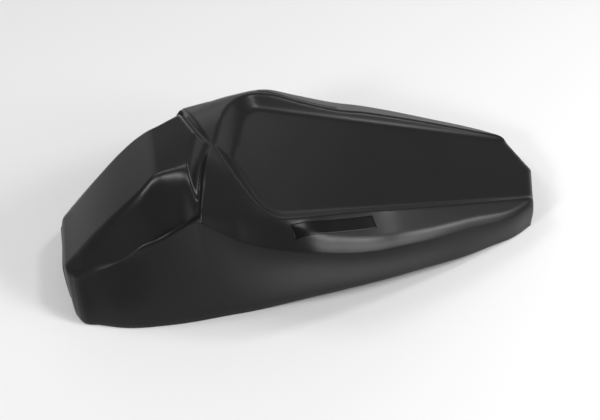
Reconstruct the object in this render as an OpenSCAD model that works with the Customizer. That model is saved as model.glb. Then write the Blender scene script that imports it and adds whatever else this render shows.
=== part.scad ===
// Seat cowl for a motorbike, one moulded shell that is open below.
// X runs from the front edge to the tail, Y to the left and right, Z up from the plane it rests on.
// The surface is symmetric in Y, so heights are worked out from the distance to the centre line.

/* [Overall] */
// Length from the front edge to the tail
cowl_length = 415.7; // [395.7:0.5:435.7]
// Width across the shoulders
cowl_width = 202.6; // [192.6:0.5:212.6]
// Height of the pad's rear corner above the rim
cowl_height = 131.4; // [125.4:0.5:138.4]

/* [Shell] */
// Thickness of the moulded wall
skin = 3; // [2:0.1:4]
// X of the front edge
front_x = -206.5; // [-207:0.5:-206]
// X of the tail edge on the centre line
tail_x = 206.9; // [206.4:0.1:208.9]
// How far the tail edge sweeps forward for each millimetre away from the centre line
tail_sweep = 0.3; // [0.2:0.01:0.35]
// Height of the arch in the lower rim
arch_rise = 14; // [0:1:18]
// X of the top of the arch
arch_x = 62; // [50:1:70]
// Half the length of the arch
arch_reach = 128; // [100:1:130]

/* [Shoulders] */
// Fall of the shoulders for each millimetre away from the centre line
shoulder_fall = 0.42; // [0.36:0.01:0.48]
// Height of the crown on the centre line, where it meets the pad
crown_z = 118.5; // [116:0.5:121]
// Fall of the crown towards the tail
crown_fall = 0.30; // [0.25:0.01:0.35]
// Width of the soft edge between crown and shoulders
crown_blend = 9; // [4:1:14]
// X of the front end of the crown on the centre line
crown_x = -69; // [-71:0.5:-67]
// How far the front edge of the crown sweeps forward for each millimetre off the centre line
crown_sweep = 0.26; // [0.24:0.01:0.3]
// Rise of the front flank of the crown
flank_rise = 4; // [3:0.25:5]

/* [Tray] */
// Height of the tray floor at X = 0
tray_z = 83.75; // [82:0.25:85]
// Fall of the tray floor towards the tail
tray_fall = 0.288; // [0.28:0.001:0.296]
// Half width of the tray floor at X = 0
tray_half = 62.6; // [58:0.2:64]
// Narrowing of the tray floor towards the tail
tray_taper = 0.13; // [0.1:0.01:0.16]
// X of the front of the tray floor on the centre line
tray_x = -53.8; // [-56:0.2:-50]
// How far that front line runs back for each millimetre off the centre line
tray_sweep = 0.29; // [0.2:0.01:0.35]
// Slope of the tray's side walls
tray_side = 0.68; // [0.5:0.02:0.9]
// Slope of the tray's front walls
tray_front = 1.3; // [1:0.05:1.6]
// Width of the soft corner between the tray's front and side walls
tray_blend = 20; // [8:1:24]

/* [Pad] */
// X of the edge between the pad's long front face and its top face
pad_x = -117.3; // [-120:0.1:-114]
// Height of that edge at the pad's sides
pad_z = 119.2; // [117:0.2:121]
// Slope of the top face
top_slope = 0.27; // [0.24:0.01:0.3]
// Width of the soft edge between front and top face
pad_fold = 2.5; // [1:0.5:4]
// Swelling of the side faces
side_swell = 1.8; // [0:0.1:2.5]
// Slope of the pad's rear face
rear_slope = 1.85; // [1.75:0.05:2]
// How far the groove behind the pad cuts in below the crown
groove_depth = 5; // [3:0.5:7]
// Fall of the rear face for each millimetre off the centre line
rear_fall = 0.72; // [0.68:0.01:0.76]
// Width of the soft edge round the rear face
rear_blend = 4; // [2:0.5:5]

/* [Lip] */
// Rise of the lip from the outer edge inwards
lip_rise = 0.12; // [0.05:0.01:0.2]
// Width of the lip
lip_width = 8; // [6:0.5:10]
// Fall of the lip's inner side
lip_back = 1.2; // [1:0.1:1.5]
// X at which the lip runs out under the crown
lip_end_x = -88; // [-90:0.5:-86]

/* [Hidden] */

// Size at which the outlines below are drawn.
drawn = [415.7, 202.6, 131.4];
stretch = [cowl_length / drawn[0], cowl_width / drawn[1], cowl_height / drawn[2]];

// Outer edge in plan, as X and half width.
edge_outline = [[-206.5, 24], [-204, 33], [-199, 40], [-184, 46], [-155, 51], [-130, 55.5], [-97, 63.5],
    [-87, 69], [-75, 76], [-59, 84.8], [-38, 93.8], [-10, 100.2], [15, 98.8], [52, 92.6], [92, 83.2],
    [134, 69.8], [175, 56.4], [193, 45.5]];
// Lower rim in plan, as X and half width.
rim_outline = [[-184, 67], [-165, 74.5], [-125, 81], [-66, 82.5], [-18, 85], [21, 87.5], [60, 86.5],
    [94, 81], [125, 74], [151, 64.5], [177, 55], [193, 45.5]];
// Half width of the rim round the front corners, for a half width of the edge above it.
rim_front = [[0, 0], [24, 30], [33, 43.5], [40, 55.5], [44, 63], [46, 67]];
// Height of the shoulder surface above the centre line, as X and Z.
shoulder_line = [[-205, 136], [-86, 133.6], [-59, 133.9], [-38, 132.6], [-20, 130.8], [-10, 128.1],
    [15, 116], [52, 100.2], [70, 94.8], [92, 87], [134, 71], [175, 54.5], [206, 42]];
// Height of the lip along the front sides, as X and Z.
lip_line = [[-206.5, 32], [-199, 36.3], [-184, 43.8], [-155, 56.9], [-137, 66.6], [-120, 76.9],
    [-105, 88.2], [-97, 95.2], [-91, 101.5], [-86, 108]];
// Width of the lip along the front sides, as X and share of the full width.
lip_share = [[-207, 1], [-160, 0.9], [-125, 0.3], [-80, 0.2]];
// Radius of the rounded outer edge, as X and radius.
edge_radius = [[-205, 4], [-95, 4], [-84, 10], [-60, 20], [-30, 18], [10, 12], [60, 9], [130, 7], [193, 5]];
// Half width of the pad at the top of its sides, as X and half width.
pad_outline = [[-207, 31], [-185, 32.5], [-168, 33.1], [-130, 33.5], [-117, 30.3], [-96, 33], [-80, 36.5]];
// Height of the pad's long front face at its sides, as X and Z.
front_line = [[-207, 35], [-195, 47], [-185, 57.4], [-168, 74.4], [-150, 91.3], [-130, 108.5],
    [-117, 119.4], [-90, 142]];
// How much higher the pad's middle is than its sides, as X and height.
pad_crown = [[-207, 0.5], [-117, 0.8], [-75, 2.5], [-60, 3]];
// Steepness of the pad's side faces, as X and fall for each millimetre outwards.
side_fall = [[-207, 1.4], [-184, 1.3], [-170, 1.6], [-155, 1.9], [-137, 2.2], [-120, 2.18], [-105, 2],
    [-97, 1.85], [-91, 1.4], [-80, 1.2]];
// Softness of the crease between body and pad, as X and width of the blend.
crease_blend = [[-207, 1.5], [-105, 2], [-92, 6], [-60, 6]];
// Softness of the edge between the pad's top and its side faces, as X and width of the blend.
side_blend = [[-207, 7], [-140, 10], [-117, 7], [-87, 6]];
// Sweep of the cross sections, as X on the centre line and shift for each millimetre off it.
section_sweep = [[-205, 0.03], [-130, 0], [-80, crown_sweep], [-60, crown_sweep], [100, 0.3],
    [207, tail_sweep]];
// Stretches of cross sections from front to tail, as X where the stretch ends and sections in it.
section_spans = [[-196, 4], [-130, 7], [-110, 5], [-86, 5], [-62, 12], [-44, 5], [50, 7], [170, 7],
    [tail_x, 4]];
// Stretches across half the width, as share of the half width where they end and steps in them.
width_spans = [[0.36, 3], [0.92, 10], [1, 4]];

// Fall of the lip past its end.
lip_end_fall = 2.5;
// Small sizes of the soft joins between faces.
end_radius = 4;
fine_blend = 1.5;
edge_blend = 2;
soft_blend = 3;
tray_edge_blend = 2.5;
crease_share = 0.45;
// Middle and reach of the swelling on the pad's side faces.
swell_x = -106;
swell_y = 41.5;
swell_reach = [20, 7];
// The wall leaves the edge for this many radii, or at most this share of its height, while it falls
// by this much for each millimetre outwards. The list tells how far it swells out, as X and share.
wall_bulge = 2.2;
wall_reach = 0.8;
wall_dip = 1.4;
wall_swell = [[-207, 0.4], [-95, 0.4], [-60, 0.5], [0, 0.55], [70, 0.8], [193, 0.6]];
// It reaches the rim upright, along this share of its height.
rim_pull = 0.9;
// Most that a steep face may be thickened downwards, in wall thicknesses.
most_drop = 1.9;
// Steps of the side wall, and how many of them one step of the inner skin takes.
wall_rings = 6;
inner_step = 2;
// Rings crowd towards the edge by this power.
ring_power = 1.4;
// X up to which the front corners reach, how far the rim stands out below them, and below the front.
corner_x = -184;
corner_flare = 2;
front_flare = 0.5;
// X from which the rim follows the tail edge.
tail_corner_x = 192.5;

function clamp(v, low, high) = min(max(v, low), high);
function soft_min(a, b, r) = let (h = clamp(0.5 + 0.5 * (b - a) / r, 0, 1))
    b * (1 - h) + a * h - r * h * (1 - h);
function soft_max(a, b, r) = -soft_min(-a, -b, r);
function last(list) = list[len(list) - 1];

// Smooth curve through the points of a list, with slopes from the neighbours on both sides.
function chord(p, i) = (p[i + 1][1] - p[i][1]) / (p[i + 1][0] - p[i][0]);
function tangent(p, i) =
    i == 0 ? chord(p, 0) :
    i == len(p) - 1 ? chord(p, i - 1) :
    let (a = p[i][0] - p[i - 1][0], b = p[i + 1][0] - p[i][0])
    (a * chord(p, i) + b * chord(p, i - 1)) / (a + b);
function place(p, x) = max([0, for (i = [0 : len(p) - 2]) if (x >= p[i][0]) i]);
function curve(p, x0) = let (
        x = clamp(x0, p[0][0], last(p)[0]),
        i = place(p, x),
        w = p[i + 1][0] - p[i][0],
        t = (x - p[i][0]) / w)
    (2 * t ^ 3 - 3 * t ^ 2 + 1) * p[i][1] + (t ^ 3 - 2 * t ^ 2 + t) * w * tangent(p, i)
    + (3 * t ^ 2 - 2 * t ^ 3) * p[i + 1][1] + (t ^ 3 - t ^ 2) * w * tangent(p, i + 1);

// Heights of the faces at X and distance y from the centre line.
function tray(x, y) = tray_z - tray_fall * x + soft_max(
    soft_max(tray_side * (y - tray_half + tray_taper * x), tray_front * (tray_x + tray_sweep * y - x),
        tray_blend), 0, tray_edge_blend);
function shoulder(x, y) = soft_min(curve(shoulder_line, x) - shoulder_fall * y,
    crown_z - crown_fall * (x - crown_x), crown_blend);
function flank(x, y) = shoulder(x, y) + flank_rise * (x - crown_x + crown_sweep * y);
function lip(x, y) = let (
        z = curve(lip_line, x),
        w = curve(edge_outline, min(x, lip_end_x)),
        flat = lip_width * curve(lip_share, x),
        outer = z - lip_rise * (y - w),
        inner = z + lip_rise * flat - lip_back * (w - flat - y))
    soft_min(outer, inner, edge_blend) - lip_end_fall * max(0, x - lip_end_x);
function body(x, y) = soft_max(
    soft_min(soft_min(shoulder(x, y), tray(x, y), edge_blend), flank(x, y), fine_blend),
    soft_min(lip(x, y), shoulder(x, y), soft_blend), soft_blend);
function pad(x, y) = let (
        w = curve(pad_outline, x),
        side_z = soft_min(curve(front_line, x), pad_z + top_slope * (x - pad_x), pad_fold),
        top = side_z + lookup(x, pad_crown) * (1 - (y / w) ^ 2),
        far_x = (x - swell_x) / swell_reach[0],
        far_y = (y - swell_y) / swell_reach[1],
        swell = side_swell * exp(-(far_x ^ 2 + far_y ^ 2)),
        side = side_z - curve(side_fall, x) * (y - w) + swell,
        rear = crown_z - groove_depth - rear_slope * (x - crown_x) - rear_fall * y)
    soft_min(soft_min(top, side, lookup(x, side_blend)), rear, rear_blend);

// Height of the whole upper surface, with its outer edges rounded off.
function rounding(gap, r) = crease_share * r * clamp(1 - gap / r, 0, 1) ^ 2;
function surface_z(x, y) = let (d = abs(y))
    soft_max(body(x, d), pad(x, d), lookup(x, crease_blend))
    - rounding(curve(edge_outline, x) - d, lookup(x, edge_radius))
    - rounding(x - front_x, end_radius)
    - rounding(tail_x - tail_sweep * d - x, end_radius);

// Stations along the length and across the width.
function stations(spans, start) = [start, for (s = [0 : len(spans) - 1])
    let (a = s == 0 ? start : spans[s - 1][0], b = spans[s][0], n = spans[s][1])
    for (k = [1 : n]) a + (b - a) * k / n];
along = stations(section_spans, front_x);
half_across = stations(width_spans, 0);
across = [for (k = [len(half_across) - 1 : -1 : 1]) -half_across[k], each half_across];
nu = len(along);
nv = len(across);

// A section starts on the centre line and sweeps forward towards the sides.
function swept_x(start, v, n = 8) = n == 0 ? start :
    start - lookup(start, section_sweep) * v * curve(edge_outline, swept_x(start, v, n - 1));
plan = [for (s = along) [for (v = across)
    let (x = swept_x(s, abs(v))) [x, v * curve(edge_outline, x)]]];
top_points = [for (row = plan) for (p = row) [p[0], p[1], surface_z(p[0], p[1])]];

// The outer edge as one loop of grid places: near side, tail, far side, front.
loop_cells = concat(
    [for (i = [0 : nu - 1]) [i, 0]],
    [for (j = [1 : nv - 1]) [nu - 1, j]],
    [for (i = [nu - 2 : -1 : 0]) [i, nv - 1]],
    [for (j = [nv - 2 : -1 : 1]) [0, j]]);
loop_ids = [for (c = loop_cells) c[0] * nv + c[1]];
nb = len(loop_ids);
edge = [for (i = loop_ids) top_points[i]];

// Directions away from the shell in plan, evened out along the loop.
function unit(v) = v / norm(v);
function evened(list, n) = n == 0 ? list : evened([for (b = [0 : nb - 1])
    unit(list[(b + nb - 1) % nb] + list[b] + list[(b + 1) % nb])], n - 1);
outward = evened([for (b = [0 : nb - 1])
    let (d = edge[(b + 1) % nb] - edge[(b + nb - 1) % nb]) unit([d[1], -d[0]])], 4);

// Lower rim below each point of the edge.
function arch(x) = let (t = clamp((x - arch_x) / arch_reach, -1, 1)) arch_rise * cos(90 * t) ^ 1.5;
function rim_point(p) = let (
        d = abs(p[1]),
        share = (p[0] - front_x) / (corner_x - front_x),
        out = front_flare * (1 - share) + corner_flare * sin(180 * share))
    p[0] < corner_x ? [p[0] - out, sign(p[1]) * curve(rim_front, d)] :
    p[0] > tail_corner_x ? [p[0], p[1]] :
    [p[0], sign(p[1]) * curve(rim_outline, p[0])];
rim = [for (p = edge) let (q = rim_point(p)) [q[0], q[1], arch(q[0])]];

// The side wall leaves the rounded edge outwards and comes down upright on the rim.
function wall_point(b, t) = let (
        h = edge[b][2] - rim[b][2],
        r = lookup(edge[b][0], edge_radius),
        out = lookup(edge[b][0], wall_swell),
        start = min(wall_bulge * r, wall_reach * h) * [out * outward[b][0], out * outward[b][1], -wall_dip],
        end = [0, 0, -rim_pull * h])
    (2 * t ^ 3 - 3 * t ^ 2 + 1) * edge[b] + (t ^ 3 - 2 * t ^ 2 + t) * start
    + (3 * t ^ 2 - 2 * t ^ 3) * rim[b] + (t ^ 3 - t ^ 2) * end;
function wall_step(k) = (k / wall_rings) ^ ring_power;
wall_steps = [for (k = [1 : wall_rings]) wall_step(k)];
wall_points = [for (t = wall_steps) for (b = [0 : nb - 1]) wall_point(b, t)];

// The inner skin lies one wall thickness inside, and below the top faces by what their slope needs.
function slope(x, y) = norm([surface_z(x + 1, y) - surface_z(x - 1, y),
    surface_z(x, y + 1) - surface_z(x, y - 1)]) / 2;
function inset(i, j) = let (s = (along[i] - front_x) / (tail_x - front_x), v = across[j],
        n = i == 0 || i == nu - 1 ? [0, -1] : outward[i])
    skin * [1 - 2 * s - n[0] * abs(v), n[1] * v];
inner_top = [for (i = [0 : nu - 1]) for (j = [0 : nv - 1])
    let (p = plan[i][j] + inset(i, j), drop = skin * min(sqrt(1 + slope(p[0], p[1]) ^ 2), most_drop))
    [p[0], p[1], surface_z(p[0], p[1]) - drop]];
inner_steps = [for (k = [inner_step : inner_step : wall_rings]) wall_step(k)];
inner_wall = [for (t = inner_steps) for (b = [0 : nb - 1])
    let (p = wall_point(b, t), c = loop_cells[b], d = inset(c[0], c[1]), low = rim[b][2],
        share = (inner_top[loop_ids[b]][2] - low) / (edge[b][2] - low))
    [p[0] + d[0], p[1] + d[1], low + (p[2] - low) * share]];

// Faces of a grid top and of a wall of rings below it. Diagonals are mirrored about the centre line.
function quad(a, b, c, d, turn) = turn ? [[a, b, c], [a, c, d]] : [[a, b, d], [b, c, d]];
function top_faces(base) = [for (i = [0 : nu - 2]) for (j = [0 : nv - 2])
    let (a = base + i * nv + j) each quad(a, a + 1, a + nv + 1, a + nv, across[j] >= 0)];
function ring_id(base, k, b) = k == 0 ? base + loop_ids[b % nb] : base + nu * nv + (k - 1) * nb + b % nb;
function wall_faces(base, rings) = [for (k = [0 : rings - 1]) for (b = [0 : nb - 1])
    each quad(ring_id(base, k, b), ring_id(base, k, b + 1), ring_id(base, k + 1, b + 1),
        ring_id(base, k + 1, b), edge[b][1] < 0)];
function flipped(faces) = [for (f = faces) [f[2], f[1], f[0]]];
inner_base = nu * nv + wall_rings * nb;
inner_rings = len(inner_steps);
rim_faces = [for (b = [0 : nb - 1])
    each quad(ring_id(0, wall_rings, b), ring_id(0, wall_rings, b + 1),
        ring_id(inner_base, inner_rings, b + 1), ring_id(inner_base, inner_rings, b), edge[b][1] < 0)];

module cowl_shell() {
    color([0.09, 0.09, 0.1])
    polyhedron(
        points = [for (p = concat(top_points, wall_points, inner_top, inner_wall))
            [p[0] * stretch[0], p[1] * stretch[1], p[2] * stretch[2]]],
        faces = concat(top_faces(0), wall_faces(0, wall_rings), rim_faces,
            flipped(top_faces(inner_base)), flipped(wall_faces(inner_base, inner_rings))),
        convexity = 10);
}

cowl_shell();
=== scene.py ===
"""A motorbike's seat cowl in satin black plastic, on a pale studio floor."""

import bpy
import numpy as np
from mathutils import Matrix


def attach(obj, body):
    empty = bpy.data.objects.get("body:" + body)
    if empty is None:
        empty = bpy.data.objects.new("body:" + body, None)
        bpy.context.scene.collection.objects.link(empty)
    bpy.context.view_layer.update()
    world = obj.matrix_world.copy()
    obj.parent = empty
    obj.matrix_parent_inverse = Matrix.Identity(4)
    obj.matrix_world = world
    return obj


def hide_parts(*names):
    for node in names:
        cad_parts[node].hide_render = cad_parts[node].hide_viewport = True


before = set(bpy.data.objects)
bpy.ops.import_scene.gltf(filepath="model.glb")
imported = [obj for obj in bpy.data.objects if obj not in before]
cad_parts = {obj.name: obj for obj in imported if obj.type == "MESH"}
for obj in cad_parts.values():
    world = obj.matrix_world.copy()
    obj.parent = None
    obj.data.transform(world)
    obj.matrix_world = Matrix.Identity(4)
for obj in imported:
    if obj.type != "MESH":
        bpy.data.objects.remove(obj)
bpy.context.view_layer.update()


# Camera. It stands beside the cowl, a little towards its front and about 45 degrees up, and looks at
# its middle. It leans by four degrees, because the cowl lies that far off level in the picture.
EYE = np.array([-75.9, -667.4, 706.1]) / 1000
AIM = np.array([-1.2, 0.0, 24.3]) / 1000
RIGHT = np.array([0.98085, -0.18163, -0.07031])
FOCAL_LENGTH, SENSOR_WIDTH = 66, 36
NEAREST = 0.01


def unit(vectors):
    """Vectors divided by their lengths."""
    return vectors / np.linalg.norm(vectors, axis=-1, keepdims=True)


def stand(name, data, place, back, right):
    """Object at a place in metres, turned so that its X and Z axes are the right and back vectors and its
    Y axis is back cross right."""
    holder = bpy.data.objects.new(name, data)
    turned = np.eye(4)
    turned[:3] = np.stack([right, np.cross(back, right), back, place], axis=1)
    holder.matrix_world = Matrix(turned.tolist())
    bpy.context.scene.collection.objects.link(holder)
    return holder


eye_back = unit(EYE - AIM)
eye_right = unit(RIGHT - eye_back * (RIGHT @ eye_back))
camera = stand("camera", bpy.data.cameras.new("camera"), EYE, eye_back, eye_right)
camera.data.lens = FOCAL_LENGTH
camera.data.sensor_width = SENSOR_WIDTH
camera.data.clip_start = NEAREST
bpy.context.scene.camera = camera
bpy.context.scene.view_settings.view_transform = "Standard"


# Shell. One injection moulding in black ABS, three millimetres thick and open below. A faceted pad in
# front meets a crown, and the crown's shoulders run back on both sides of a shallow tapering tray.
# Sizes are in millimetres, X to the tail, and the two sides are mirrored about the centre line.
SKIN = 3.0
FRONT_X, TAIL_X, TAIL_SWEEP = -206.5, 206.9, 0.3
# A list of pairs gives a size at each X, and FLANK_RISE and RIM_FRONT at each distance off the centre line.
EDGE_OUTLINE = [[-206.5, 24], [-204, 33], [-199, 40], [-184, 46], [-155, 51], [-130, 55.5], [-97, 63.5],
                [-87, 69], [-75, 76], [-59, 84.8], [-38, 93.8], [-10, 100.2], [15, 98.8],
                [52, 92.6], [92, 83.2], [134, 69.8], [175, 56.4], [193, 45.5]]
EDGE_RADIUS = [[-205, 4], [-95, 4], [-84, 10], [-60, 20], [-30, 18], [10, 12], [60, 9], [130, 7], [193, 5]]


def soft_min(a, b, width):
    """Smooth minimum: b + (a - b) h - width h (1 - h), with h = 0.5 + (b - a) / (2 width) in 0 to 1."""
    h = np.clip(0.5 + 0.5 * (b - a) / width, 0, 1)
    return b * (1 - h) + a * h - width * h * (1 - h)


def soft_max(a, b, width):
    """Smooth maximum: the smooth minimum of the negated values, negated."""
    return -soft_min(-a, -b, width)


def lookup(points, x):
    """Straight lines through the points."""
    table = np.array(points, float)
    return np.interp(x, table[:, 0], table[:, 1])


def curve(points, x):
    """Cubic through each pair of points, with slopes weighted from the chords on both sides."""
    px, py = np.array(points, float).T
    slopes = np.gradient(py, px)
    x = np.clip(x, px[0], px[-1])
    i = np.clip(np.searchsorted(px, x, side="right") - 1, 0, len(px) - 2)
    width = px[i + 1] - px[i]
    t = (x - px[i]) / width
    return ((2 * t**3 - 3 * t**2 + 1) * py[i] + (t**3 - 2 * t**2 + t) * width * slopes[i]
            + (3 * t**2 - 2 * t**3) * py[i + 1] + (t**3 - t**2) * width * slopes[i + 1])


TRAY_Z, TRAY_FALL = 83.75, 0.288
TRAY_HALF, TRAY_TAPER, TRAY_SIDE = 62.6, 0.13, 0.68
TRAY_X, TRAY_SWEEP, TRAY_FRONT = -53.8, 0.29, 1.3
TRAY_BLEND, FLOOR_BLEND = 20, 2.5


def tray(x, d):
    """Floor falling to the tail, with side and front walls that rise from it through a soft corner."""
    side = TRAY_SIDE * (d - TRAY_HALF + TRAY_TAPER * x)
    front = TRAY_FRONT * (TRAY_X + TRAY_SWEEP * d - x)
    return TRAY_Z - TRAY_FALL * x + soft_max(soft_max(side, front, TRAY_BLEND), 0, FLOOR_BLEND)


SHOULDER_LINE = [[-205, 136], [-86, 133.6], [-59, 133.9], [-38, 132.6], [-20, 130.8], [-10, 128.1],
                 [15, 116], [52, 100.2], [70, 94.8], [92, 87], [134, 71], [175, 54.5], [206, 42]]
SHOULDER_FALL = 0.42
CROWN_X, CROWN_Z, CROWN_FALL, CROWN_BLEND = -69, 118.5, 0.30, 9


def shoulder(x, d):
    """Shoulder plane falling outwards, cut off by the crown's plane that falls to the tail."""
    outwards = curve(SHOULDER_LINE, x) - SHOULDER_FALL * d
    return soft_min(outwards, CROWN_Z - CROWN_FALL * (x - CROWN_X), CROWN_BLEND)


LIP_LINE = [[-206.5, 32], [-199, 36.3], [-184, 43.8], [-155, 56.9], [-137, 66.6], [-120, 76.9],
            [-105, 88.2], [-97, 95.2], [-91, 101.5], [-86, 108]]
LIP_WIDTH = [[-207, 8], [-160, 7.2], [-125, 2.4], [-80, 1.6]]
LIP_RISE, LIP_BACK = 0.12, 1.2
LIP_END_X, LIP_END_FALL = -88, 2.5
EDGE_BLEND = 2


def lip(x, d):
    """Ridge along the front sides: nearly level over up to 8 mm, and falling inside that."""
    z, w, flat = curve(LIP_LINE, x), curve(EDGE_OUTLINE, np.minimum(x, LIP_END_X)), curve(LIP_WIDTH, x)
    outer, inner = z - LIP_RISE * (d - w), z + LIP_RISE * flat - LIP_BACK * (w - flat - d)
    return soft_min(outer, inner, EDGE_BLEND) - LIP_END_FALL * np.maximum(0, x - LIP_END_X)


FLANK_RISE = [[0, 1.3], [44, 1.3], [57, 3.5]]
CROWN_SWEEP, FLANK_BLEND = 0.26, 4
BODY_BLEND = 3


def body(x, d):
    """Lower of shoulder, tray and the crown's front flank, and not below the lip. The flank is the
    shoulder lowered by the rise times how far the place lies in front of the crown's swept edge."""
    flank = shoulder(x, d) + lookup(FLANK_RISE, d) * (x - CROWN_X + CROWN_SWEEP * d)
    cover = soft_min(soft_min(shoulder(x, d), tray(x, d), EDGE_BLEND), flank, FLANK_BLEND)
    return soft_max(cover, soft_min(lip(x, d), shoulder(x, d), BODY_BLEND), BODY_BLEND)


PAD_OUTLINE = [[-207, 31], [-185, 32.5], [-168, 33.1], [-130, 33.5], [-117, 30.3], [-96, 33], [-80, 36.5]]
FRONT_LINE = [[-207, 35], [-195, 47], [-185, 57.4], [-168, 74.4], [-150, 91.3], [-130, 108.5],
              [-117, 119.4], [-90, 142]]
PAD_CROWN = [[-207, 0.5], [-117, 0.8], [-75, 2.5], [-60, 3]]
SIDE_FALL = [[-207, 1.4], [-184, 1.3], [-170, 1.6], [-155, 1.9], [-137, 2.2], [-120, 2.18], [-105, 2],
             [-97, 1.85], [-91, 1.4], [-80, 1.2]]
SIDE_BLEND = [[-207, 7], [-140, 11], [-117, 9], [-87, 9]]
PAD_X, PAD_Z, PAD_SLOPE, PAD_FOLD = -117.3, 119.2, 0.27, 3
SWELL_X, SWELL_Y, SWELL_RISE = -106, 41.5, 1.8
SWELL_LENGTH, SWELL_WIDTH = 20, 7
GROOVE_DEPTH, REAR_SLOPE, REAR_FALL, REAR_BLEND = 5, 1.85, 0.72, 4


def pad(x, d):
    """Crowned top that folds from front to top face, lowered by its side faces, which swell by a bell
    curve near the rear, and by its rear face, which starts in the groove below the crown."""
    w = curve(PAD_OUTLINE, x)
    side_z = soft_min(curve(FRONT_LINE, x), PAD_Z + PAD_SLOPE * (x - PAD_X), PAD_FOLD)
    top = side_z + lookup(PAD_CROWN, x) * (1 - (d / w)**2)
    far_x, far_d = (x - SWELL_X) / SWELL_LENGTH, (d - SWELL_Y) / SWELL_WIDTH
    side = side_z - curve(SIDE_FALL, x) * (d - w) + SWELL_RISE * np.exp(-far_x**2 - far_d**2)
    rear = CROWN_Z - GROOVE_DEPTH - REAR_SLOPE * (x - CROWN_X) - REAR_FALL * d
    return soft_min(soft_min(top, side, lookup(SIDE_BLEND, x)), rear, REAR_BLEND)


CREASE_BLEND = [[-207, 1.5], [-105, 3], [-92, 9], [-60, 9]]
END_RADIUS = 4
ROUND_SHARE = 0.45


def rounding(gap, radius):
    """Drop near an edge: share radius (1 - gap / radius)^2, nothing past the radius."""
    return ROUND_SHARE * radius * np.clip(1 - gap / radius, 0, 1)**2


def surface_z(x, y):
    """Height of the upper surface: higher of body and pad, less the rounding of the outer edges."""
    d = np.abs(y)
    return (soft_max(body(x, d), pad(x, d), lookup(CREASE_BLEND, x))
            - rounding(curve(EDGE_OUTLINE, x) - d, lookup(EDGE_RADIUS, x))
            - rounding(x - FRONT_X, END_RADIUS) - rounding(TAIL_X - TAIL_SWEEP * d - x, END_RADIUS))


def stations(spans, start):
    """Even steps from start through each stretch, given as where it ends and its steps."""
    ends = [start] + [span[0] for span in spans]
    steps = [np.linspace(a, b, span[1], endpoint=False) for a, b, span in zip(ends, ends[1:], spans)]
    return np.concatenate(steps + [[ends[-1]]])


def loop_of(grid):
    """Outer cells of a grid as one loop: near side, tail, far side, front."""
    return np.concatenate([grid[:, 0], grid[-1, 1:], grid[-2::-1, -1], grid[0, -2:0:-1]])


def hermite(start, leave, end, arrive, t):
    """Cubic from start to end that leaves and arrives along the two given vectors."""
    return ((2 * t**3 - 3 * t**2 + 1) * start + (t**3 - 2 * t**2 + t) * leave
            + (3 * t**2 - 2 * t**3) * end + (t**3 - t**2) * arrive)


RIM_OUTLINE = [[-184, 67], [-165, 74.5], [-125, 81], [-66, 82.5], [-18, 85], [21, 87.5], [60, 86.5],
               [94, 81], [125, 74], [151, 64.5], [177, 55], [193, 45.5]]
RIM_FRONT = [[0, 0], [24, 30], [33, 43.5], [40, 55.5], [44, 63], [46, 67]]
CORNER_X, TAIL_CORNER_X = -184, 192.5
FRONT_FLARE, CORNER_FLARE = 0.5, 2
ARCH_RISE, ARCH_X, ARCH_REACH = 14, 62, 128


def arch(x):
    """Lower rim's height: rise cos(t)^1.5, with t from -90 to 90 degrees over the reach to both sides."""
    return ARCH_RISE * np.cos(np.pi / 2 * np.clip((x - ARCH_X) / ARCH_REACH, -1, 1))**1.5


def rim_below(edge):
    """Rim point under each edge point: on the rim outline, flared round the front corners on a sine,
    and straight below the tail edge."""
    x, d = edge[:, 0], np.abs(edge[:, 1])
    front, tail = x < CORNER_X, x > TAIL_CORNER_X
    share = np.clip((x - FRONT_X) / (CORNER_X - FRONT_X), 0, 1)
    flare = FRONT_FLARE * (1 - share) + CORNER_FLARE * np.sin(np.pi * share)
    rim_x = x - np.where(front, flare, 0)
    rim_y = np.where(front, curve(RIM_FRONT, d), np.where(tail, d, curve(RIM_OUTLINE, x)))
    return np.stack([rim_x, np.sign(edge[:, 1]) * rim_y, arch(rim_x)], axis=-1)


def quads(rows, columns, base, closed):
    """Faces between neighbouring rows of a grid of point numbers, joined round if closed."""
    i, j = np.meshgrid(np.arange(rows - 1), np.arange(columns if closed else columns - 1), indexing="ij")
    after = (j + 1) % columns
    return base + np.stack([i * columns + j, (i + 1) * columns + j, (i + 1) * columns + after,
                            i * columns + after], axis=-1).reshape(-1, 4)


SECTION_SWEEP = [[-205, 0.03], [-130, 0], [-80, CROWN_SWEEP], [-60, CROWN_SWEEP], [100, 0.3],
                 [207, TAIL_SWEEP]]
SECTION_SPANS = [[-196, 12], [-130, 24], [-108, 20], [-86, 20], [-62, 44], [-44, 16], [50, 30],
                 [170, 30], [TAIL_X, 16]]
WIDTH_SPANS = [[0.36, 12], [0.92, 42], [1, 12]]
SWEEP_ROUNDS, EVENING_ROUNDS = 8, 40


def plan_grid():
    """Each section's X on the centre line, each column's share of the half width, and X and Y of the
    grid, where a section sweeps forward by its sweep times the distance off the line, in rounds."""
    half = stations(WIDTH_SPANS, 0)
    across = np.concatenate([-half[:0:-1], half])
    start, v = np.meshgrid(stations(SECTION_SPANS, FRONT_X), across, indexing="ij")
    x = start
    for _ in range(SWEEP_ROUNDS):
        x = start - lookup(SECTION_SWEEP, start) * np.abs(v) * curve(EDGE_OUTLINE, x)
    return start, v, x, v * curve(EDGE_OUTLINE, x)


def outward_of(edge):
    """Directions away from the shell in plan: across the chords of the loop, evened out along it."""
    step = np.roll(edge, -1, axis=0) - np.roll(edge, 1, axis=0)
    outward = unit(np.stack([step[:, 1], -step[:, 0]], axis=-1))
    for _ in range(EVENING_ROUNDS):
        outward = unit(np.roll(outward, 1, axis=0) + outward + np.roll(outward, -1, axis=0))
    return outward


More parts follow.
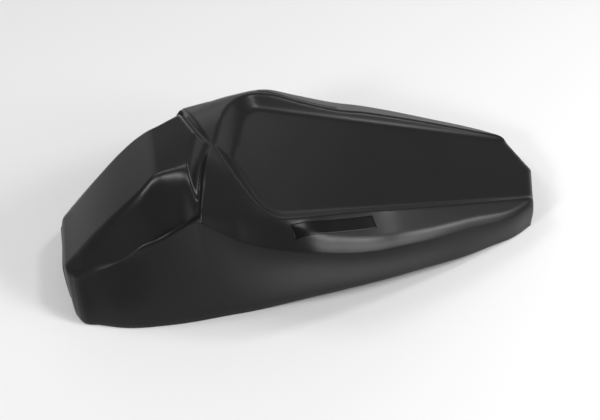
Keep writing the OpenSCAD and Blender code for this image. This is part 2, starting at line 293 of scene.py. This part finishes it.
WALL_SWELL = [[-207, 0.4], [-95, 0.4], [-60, 0.5], [0, 0.55], [70, 0.8], [193, 0.6]]
WALL_DIP, WALL_BULGE, WALL_REACH, RIM_PULL = 1.4, 2.2, 0.8, 0.9
WALL_RINGS, RING_POWER = 14, 1.4


def side_wall(edge, rim, outward):
    """Rings from edge to rim: each line leaves outwards and down, by so many radii or a share of the
    height, and reaches the rim upright. The rings crowd towards the edge by a power."""
    height = (edge[:, 2] - rim[:, 2])[:, None]
    radius = lookup(EDGE_RADIUS, edge[:, 0])[:, None]
    swell = lookup(WALL_SWELL, edge[:, 0])[:, None]
    down = np.full_like(height, -1)
    reach = np.minimum(WALL_BULGE * radius, WALL_REACH * height)
    leave = np.hstack([swell * outward, WALL_DIP * down]) * reach
    arrive = np.hstack([0 * outward, RIM_PULL * down]) * height
    t = (np.arange(WALL_RINGS + 1) / WALL_RINGS)[:, None, None]**RING_POWER
    return hermite(edge, leave, rim, arrive, t)


MOST_DROP = 1.9
INNER_STEP = 2
RIM_RADIUS, BEND = 0.8, 0.3


def inner_top(start, v, x, y, outward):
    """Upper grid moved in by one wall thickness, and down by what the slope there needs, and the shift in
    plan of its outer loop."""
    share = (start - FRONT_X) / (TAIL_X - FRONT_X)
    side = outward[:len(start)].copy()
    side[0] = side[-1] = [0, -1]
    inset = SKIN * np.stack([1 - 2 * share - side[:, :1] * np.abs(v), side[:, 1:] * v], axis=-1)
    ix, iy = x + inset[..., 0], y + inset[..., 1]
    slope = np.hypot(surface_z(ix + 1, iy) - surface_z(ix - 1, iy),
                     surface_z(ix, iy + 1) - surface_z(ix, iy - 1)) / 2
    drop = SKIN * np.minimum(np.sqrt(1 + slope**2), MOST_DROP)
    return np.stack([ix, iy, surface_z(ix, iy) - drop], axis=-1), loop_of(inset)


def inner_side(wall, edge, rim, inner_edge, shift):
    """Every second ring of the wall, shifted in and scaled in height to end at the inner edge."""
    rings = wall[::INNER_STEP].copy()
    rings[..., :2] += shift
    scale = (inner_edge[:, 2] - rim[:, 2]) / (edge[:, 2] - rim[:, 2])
    rings[..., 2] = rim[:, 2] + (rings[..., 2] - rim[:, 2]) * scale
    return rings


def turned_rim(rim, thin):
    """Four rings under the wall, across its thickness, that round off both corners of the rim."""
    turn = RIM_RADIUS / SKIN
    share = np.array([BEND * turn, turn, 1 - turn, 1 - BEND * turn])[:, None, None]
    lift = np.array([BEND, 0, 0, BEND])[:, None, None]
    return rim + share * thin + lift * [0, 0, RIM_RADIUS]


def shell_mesh():
    """Upper grid, wall rings and rounded rim outside, the same one wall thickness further in."""
    start, v, x, y = plan_grid()
    top = np.stack([x, y, surface_z(x, y)], axis=-1)
    edge = loop_of(top)
    rim = rim_below(edge)
    outward = outward_of(edge)
    wall = side_wall(edge, rim, outward)
    under, shift = inner_top(start, v, x, y, outward)
    inner_wall = inner_side(wall, edge, rim, loop_of(under), shift)

    thin = np.hstack([shift, np.zeros((len(shift), 1))])
    wall[-1] = rim + [0, 0, RIM_RADIUS]
    inner_wall[-1] = rim + thin + [0, 0, RIM_RADIUS]
    rings = np.concatenate([wall, turned_rim(rim, thin), inner_wall[::-1]])

    rows, columns = x.shape
    count = x.size
    points = np.concatenate([top.reshape(-1, 3), under.reshape(-1, 3), rings[1:-1].reshape(-1, 3)])
    border = loop_of(np.arange(count).reshape(rows, columns))
    order = np.concatenate([border, np.arange(2 * count, len(points)), count + border])
    faces = np.concatenate([quads(rows, columns, 0, False), quads(rows, columns, count, False)[:, ::-1],
                            order[quads(len(rings), len(edge), 0, True)]])
    return points, faces


def mesh_piece(name, points, faces, finish):
    """Object at the origin from points in millimetres and faces of four, smooth, with one finish."""
    mesh = bpy.data.meshes.new(name)
    mesh.from_pydata((points / 1000).tolist(), [], faces.tolist())
    mesh.polygons.foreach_set("use_smooth", np.ones(len(faces), bool))
    mesh.materials.append(finish)
    mesh.update()
    piece = bpy.data.objects.new(name, mesh)
    bpy.context.scene.collection.objects.link(piece)
    return piece


class Signal:
    """A socket's value in shader maths: each operator on it adds a Math node."""

    def __init__(self, finish, socket):
        self.finish, self.socket = finish, socket

    def maths(self, operation, first, second):
        return self.finish.node("ShaderNodeMath", {"operation": operation}, {0: first, 1: second})

    def __add__(self, other):
        return self.maths("ADD", self, other)

    def __sub__(self, other):
        return self.maths("SUBTRACT", self, other)

    def __mul__(self, other):
        return self.maths("MULTIPLY", self, other)

    def __rsub__(self, other):
        return self.maths("SUBTRACT", other, self)

    __radd__, __rmul__ = __add__, __mul__


class Finish:
    """A material whose nodes are made by one method."""

    def __init__(self, name):
        self.material = bpy.data.materials.new(name)
        self.material.use_nodes = True
        self.tree = self.material.node_tree
        self.tree.nodes.clear()

    def node(self, kind, settings, inputs, output=0):
        """Node of the kind, with its settings set first, then its sockets' values or links."""
        made = self.tree.nodes.new(kind)
        for key, value in settings.items():
            setattr(made, key, value)
        for key, value in inputs.items():
            if isinstance(value, Signal):
                self.tree.links.new(value.socket, made.inputs[key])
            else:
                made.inputs[key].default_value = value
        return Signal(self, made.outputs[output]) if made.outputs else None

    def mix(self, share, low, high):
        """Colour low (1 - share) + high share. A Mix node's colour sockets are inputs 6 and 7, output 2."""
        return self.node("ShaderNodeMix", {"data_type": "RGBA"}, {0: share, 6: low, 7: high}, 2)


PLASTIC_DARK = (0.0085, 0.0086, 0.009, 1)
PLASTIC_LIGHT = (0.0115, 0.0115, 0.0122, 1)
PLASTIC_ROUGHNESS, CLOUD_SPREAD, FINE_SPREAD = 0.31, 0.08, 0.05


def satin_plastic():
    """Black ABS: fine moulded grain, with cloudy gloss where hands and cloths have polished it."""
    finish = Finish("satin_black_plastic")
    place = finish.node("ShaderNodeTexCoord", {}, {}, "Object")
    grain = finish.node("ShaderNodeTexNoise", {}, {"Vector": place, "Scale": 1400, "Detail": 2})
    cloud = finish.node("ShaderNodeTexNoise", {}, {
        "Vector": place, "Scale": 22, "Detail": 5, "Roughness": 0.6})
    fine = finish.node("ShaderNodeTexNoise", {}, {"Vector": place, "Scale": 190, "Detail": 3})
    tone = finish.mix(cloud, PLASTIC_DARK, PLASTIC_LIGHT)
    roughness = PLASTIC_ROUGHNESS + (cloud - 0.5) * CLOUD_SPREAD + (fine - 0.5) * FINE_SPREAD
    bump = finish.node("ShaderNodeBump", {}, {"Strength": 0.12, "Distance": 0.0002, "Height": grain})
    shader = finish.node("ShaderNodeBsdfPrincipled", {}, {
        "Base Color": tone, "Roughness": roughness, "Normal": bump, "Specular IOR Level": 0.24})
    finish.node("ShaderNodeOutputMaterial", {}, {"Surface": shader})
    return finish.material


shell = mesh_piece("cowl_skin", *shell_mesh(), satin_plastic())
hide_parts("cowl_shell")
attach(shell, "root")


# Labels. A plain strip of black film, about 73 mm by 11 mm, lies on each shoulder. It stands 0.2 mm
# proud of the surface and follows it, and its rim is let into the shell so that no gap shows.
LABEL_CORNERS = np.array([[-19, 83.5], [48.5, 68], [50, 78], [-17.5, 93.5]])
LABEL_POINTS_ALONG, LABEL_POINTS_ACROSS = 61, 13
LABEL_TOP, LABEL_FOOT = 0.2, -0.4
FILM_BLACK = (0.004, 0.004, 0.0045, 1)


def label_mesh(side):
    """Sheet on the shoulder's height, between the corners A, B, C and D in plan:
    (1 - u) (1 - v) A + u (1 - v) B + u v C + (1 - u) v D. Side is 1 for positive Y and -1 for the other."""
    along, across = np.linspace(0, 1, LABEL_POINTS_ALONG), np.linspace(0, 1, LABEL_POINTS_ACROSS)
    u, v = [share[..., None] for share in np.meshgrid(along, across, indexing="ij")]
    a, b, c, d = LABEL_CORNERS
    plan = (1 - u) * (1 - v) * a + u * (1 - v) * b + u * v * c + (1 - u) * v * d
    x, y = plan[..., 0], side * plan[..., 1]
    z = surface_z(x, y)
    sheets = [np.stack([x, y, z + lift], axis=-1).reshape(-1, 3) for lift in (LABEL_TOP, LABEL_FOOT)]
    border = loop_of(np.arange(x.size).reshape(x.shape))
    border = np.concatenate([border, x.size + border])
    faces = np.concatenate([quads(*x.shape, 0, False), quads(*x.shape, x.size, False)[:, ::-1],
                            border[quads(2, len(border) // 2, 0, True)]])
    return np.concatenate(sheets), faces if side > 0 else faces[:, ::-1]


def black_film():
    """Smooth black film, with faint waves from being pressed on by hand."""
    finish = Finish("black_film")
    place = finish.node("ShaderNodeTexCoord", {}, {}, "Object")
    wave = finish.node("ShaderNodeTexNoise", {}, {"Vector": place, "Scale": 90, "Detail": 2})
    bump = finish.node("ShaderNodeBump", {}, {"Strength": 0.1, "Distance": 0.0004, "Height": wave})
    shader = finish.node("ShaderNodeBsdfPrincipled", {}, {
        "Base Color": FILM_BLACK, "Roughness": 0.26, "Normal": bump, "Specular IOR Level": 0.12})
    finish.node("ShaderNodeOutputMaterial", {}, {"Surface": shader})
    return finish.material


film = black_film()
for name, side in (("near_label", -1), ("far_label", 1)):
    label = mesh_piece(name, *label_mesh(side), film)
    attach(label, "root")


# Floor. A sheet of plain white paper, six metres square and so larger than the picture, which takes the
# cowl's shadow. It looks near white to the camera and in gloss, and throws less light back.
FLOOR_HALF = 3000
PAPER_GREY = (0.2, 0.2, 0.2, 1)
PAPER_WHITE = (0.82, 0.82, 0.82, 1)


def paper():
    """Plain matt paper: white to rays from the camera, gloss and clear pieces, and grey to all others."""
    finish = Finish("white_paper")
    camera_ray, glossy_ray, clear_ray = [
        finish.node("ShaderNodeLightPath", {}, {}, kind)
        for kind in ("Is Camera Ray", "Is Glossy Ray", "Is Transmission Ray")]
    tone = finish.mix(camera_ray + glossy_ray + clear_ray, PAPER_GREY, PAPER_WHITE)
    shader = finish.node("ShaderNodeBsdfPrincipled", {}, {"Base Color": tone, "Roughness": 0.9})
    finish.node("ShaderNodeOutputMaterial", {}, {"Surface": shader})
    return finish.material


floor_points = np.array([[-1, -1, 0], [1, -1, 0], [1, 1, 0], [-1, 1, 0]]) * FLOOR_HALF
floor = mesh_piece("floor", floor_points, np.array([[0, 1, 2, 3]]), paper())


# Lamps. Three softboxes on the right put the long sheen on the near shoulder and the glint on the crown's
# crest. Two on the left catch the pad's edges, and two wide ones behind lift its top and the tray. The
# world's even light fills the rest.
MIDDLE = np.array([0, 0, 0.06])
LEVEL_GUIDE = np.array([0.1, 1.0, 0.05])
SOFTBOXES = [
    ("right_softbox", (1.17, -0.42, 0.88), 0.4, 9.5),
    ("low_right_softbox", (1.05, -0.88, 0.66), 0.4, 6),
    ("high_right_softbox", (0.78, 0.04, 1.28), 0.2, 4),
    ("left_softbox", (-0.8, 0.3, 1.3), 0.5, 4.5),
    ("front_left_softbox", (-1.08, -0.85, 0.95), 0.3, 8),
    ("back_softbox", (-1.3, 1.5, 0.7), 1.0, 2.2),
    ("wide_back_softbox", (0.2, 1.9, 1.0), 1.4, 5),
]
WORLD_LIGHT = 0.27


def softbox(name, place, size, power):
    """Square area lamp at a place in metres, turned to the cowl's middle, with its power in watts. Its X
    axis is at right angles to the guide and to the line that it shines along."""
    lamp = bpy.data.lights.new(name, "AREA")
    lamp.shape, lamp.size, lamp.energy = "SQUARE", size, power
    back = unit(np.array(place) - MIDDLE)
    stand(name, lamp, place, back, unit(np.cross(LEVEL_GUIDE, back)))


for lamp_values in SOFTBOXES:
    softbox(*lamp_values)

world = bpy.data.worlds.new("studio")
world.use_nodes = True
world.node_tree.nodes["Background"].inputs["Color"].default_value = (1, 1, 1, 1)
world.node_tree.nodes["Background"].inputs["Strength"].default_value = WORLD_LIGHT
bpy.context.scene.world = world
